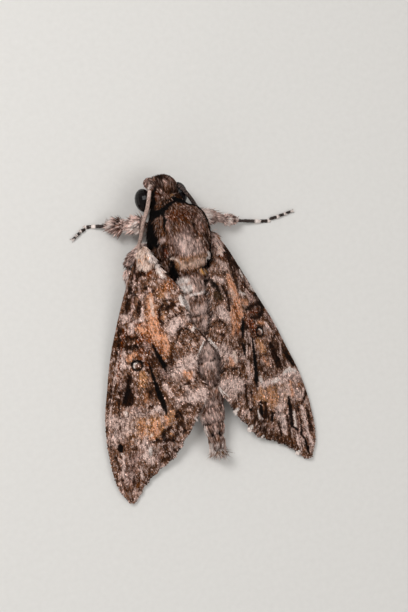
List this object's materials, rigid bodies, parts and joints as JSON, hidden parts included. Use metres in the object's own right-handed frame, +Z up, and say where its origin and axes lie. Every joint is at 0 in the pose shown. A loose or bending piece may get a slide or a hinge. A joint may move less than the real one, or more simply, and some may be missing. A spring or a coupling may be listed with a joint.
{
  "type": "hawk moth",
  "caption": "Still, life-size hawk moth at rest: marbled brown forewings folded roof-like over a stout furry body, feelers tucked back, legs spread on the floor.",
  "frame": {"origin": "middle of the bounding box on the plane that the feet stand on", "axes": "+Z up from the floor, -Y towards the head, +X towards the moth's left"},
  "size_m": [0.0502, 0.064, 0.0133],
  "materials": {
    "wing_scales": "matte marbled scales: grey-brown, pinkish grey, dark brown, black lines and orange-tan patches",
    "hindwing_scales": "matte dark brown scales with grey bands",
    "body_fur": "dense matte hair-scales, brown and lilac grey with black bands",
    "leg_fur": "fluffy pinkish lilac-grey scales",
    "foot": "dark horn with white rings",
    "feeler": "cream to pinkish scales over fine segments",
    "eye": "glossy black compound eye",
    "tongue": "satin brown horn"
  },
  "bodies": {
    "root": {"abdomen_1": "body_fur", "abdomen_2": "body_fur", "abdomen_3": "body_fur", "abdomen_4": "body_fur", "abdomen_5": "body_fur", "abdomen_6": "body_fur", "abdomen_7": "body_fur", "abdomen_8": "body_fur", "anal_tuft": "body_fur", "antenna_left": "feeler", "antenna_right": "feeler", "collar": "body_fur", "eye_left": "eye", "eye_right": "eye", "femur_fore_left": "leg_fur", "femur_fore_right": "leg_fur", "femur_hind_left": "leg_fur", "femur_hind_right": "leg_fur", "femur_mid_left": "leg_fur", "femur_mid_right": "leg_fur", "forewing_left": "wing_scales", "forewing_right": "wing_scales", "head": "body_fur", "hindwing_left": "hindwing_scales", "hindwing_right": "hindwing_scales", "palp_left": "body_fur", "palp_right": "body_fur", "proboscis": "tongue", "tarsus_fore_left": "foot", "tarsus_fore_right": "foot", "tarsus_hind_left": "foot", "tarsus_hind_right": "foot", "tarsus_mid_left": "foot", "tarsus_mid_right": "foot", "tegula_left": "body_fur", "tegula_right": "body_fur", "thorax": "body_fur", "tibia_fore_left": "leg_fur", "tibia_fore_right": "leg_fur", "tibia_hind_left": "leg_fur", "tibia_hind_right": "leg_fur", "tibia_mid_left": "leg_fur", "tibia_mid_right": "leg_fur"}
  },
  "joints": []
}
